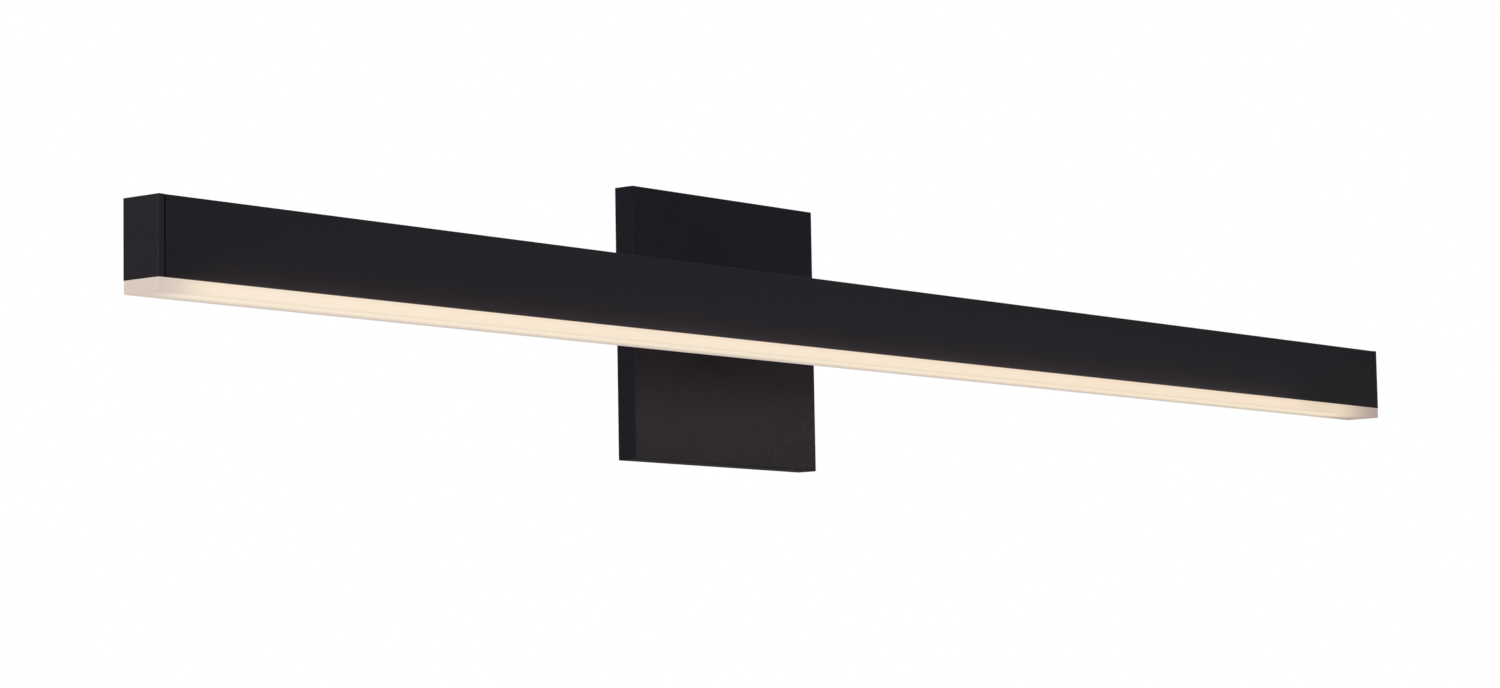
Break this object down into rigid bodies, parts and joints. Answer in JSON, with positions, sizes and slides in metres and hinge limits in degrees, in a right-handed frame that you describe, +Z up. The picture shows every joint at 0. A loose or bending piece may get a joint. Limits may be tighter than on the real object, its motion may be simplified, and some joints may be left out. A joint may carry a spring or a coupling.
{
  "type": "vanity light bar",
  "caption": "Slim wall-mounted linear LED bar on a short arm and flat rectangular canopy, black housing with a frosted diffuser along its underside.",
  "frame": {"origin": "on the wall plane, at the middle of the bracket's two junction-box slots, which is also the middle of the canopy", "axes": "+X along the bar to the viewer's right when facing the wall, +Y into the wall, +Z up; the bar stands out to -Y with its diffuser facing down"},
  "size_m": [0.9144, 0.107, 0.13],
  "materials": {
    "black_powder_coat": "satin black powder coat over sheet steel",
    "black_housing": "satin black powder coat over extruded aluminium",
    "black_end_cap": "satin black powder coat over die-cast zinc",
    "frosted_diffuser": "opal frosted acrylic, lit warm white from inside",
    "zinc_steel": "zinc-plated pressed steel",
    "zinc_screw": "zinc-plated steel",
    "black_screw": "black oxide steel",
    "earth_green": "green dyed zinc plating",
    "grommet_rubber": "matte black rubber",
    "bare_aluminium": "mill finish",
    "white_board": "white solder mask on an aluminium core",
    "green_board": "green solder mask on glass epoxy",
    "thermal_tape": "soft grey heat-conducting tape",
    "led_phosphor": "yellow phosphor lens in a white package",
    "connector_white": "natural nylon",
    "driver_plastic": "white flame-resistant plastic",
    "driver_components": "mixed dark component bodies",
    "tinned_brass": "tin-plated brass",
    "black_insulation": "black wire insulation",
    "white_insulation": "white wire insulation",
    "green_insulation": "green wire insulation",
    "red_insulation": "red wire insulation"
  },
  "bodies": {
    "wall_bracket": {"wall_bracket": "zinc_steel", "ground_screw": "earth_green"},
    "lamp": {"canopy": "black_powder_coat", "arm": "black_powder_coat", "arm_screws_canopy": "zinc_screw", "arm_screws_bar": "zinc_screw", "canopy_grommet": "grommet_rubber", "bar_grommet": "grommet_rubber", "housing": "black_housing", "end_cap_left": "black_end_cap", "end_cap_right": "black_end_cap", "diffuser": "frosted_diffuser", "led_tray": "bare_aluminium", "led_board_left": "white_board", "led_board_right": "white_board", "thermal_tape_left": "thermal_tape", "thermal_tape_right": "thermal_tape", "leds_left": "led_phosphor", "leds_right": "led_phosphor", "board_screws": "zinc_screw", "board_link": "connector_white", "lead_connector": "connector_white", "driver_case": "driver_plastic", "driver_lid": "driver_plastic", "driver_board": "green_board", "driver_parts": "driver_components", "driver_pads": "thermal_tape", "supply_terminal": "connector_white", "earth_stud": "zinc_screw", "earth_nut": "zinc_screw", "earth_ring": "tinned_brass", "line_lead": "black_insulation", "neutral_lead": "white_insulation", "earth_lead": "green_insulation", "positive_lead": "red_insulation", "negative_lead": "black_insulation"},
    "washer_left": {"lock_washer_left": "black_screw"},
    "screw_left": {"lock_screw_left": "black_screw"},
    "washer_right": {"lock_washer_right": "black_screw"},
    "screw_right": {"lock_screw_right": "black_screw"}
  },
  "joints": [
    {"name": "lamp_removal", "type": "slide", "parent": "wall_bracket", "child": "lamp", "axis": [0, -1, 0], "range_m": [0, 0.04]},
    {"name": "washer_left_slide", "type": "slide", "parent": "wall_bracket", "child": "washer_left", "axis": [-1, 0, 0], "range_m": [0, 0.0028]},
    {"name": "screw_left_turn", "type": "hinge", "parent": "washer_left", "child": "screw_left", "pos_m": [-0.06935, -0.0048, 0], "axis": [-1, 0, 0], "range_deg": [0, 1441]},
    {"name": "washer_right_slide", "type": "slide", "parent": "wall_bracket", "child": "washer_right", "axis": [1, 0, 0], "range_m": [0, 0.0028]},
    {"name": "screw_right_turn", "type": "hinge", "parent": "washer_right", "child": "screw_right", "pos_m": [0.06935, -0.0048, 0], "axis": [1, 0, 0], "range_deg": [0, 1441]}
  ],
  "couplings": [
    {"joint": "screw_left_turn", "follows": "washer_left_slide", "rad_per_m": 8976},
    {"joint": "screw_right_turn", "follows": "washer_right_slide", "rad_per_m": 8976}
  ]
}
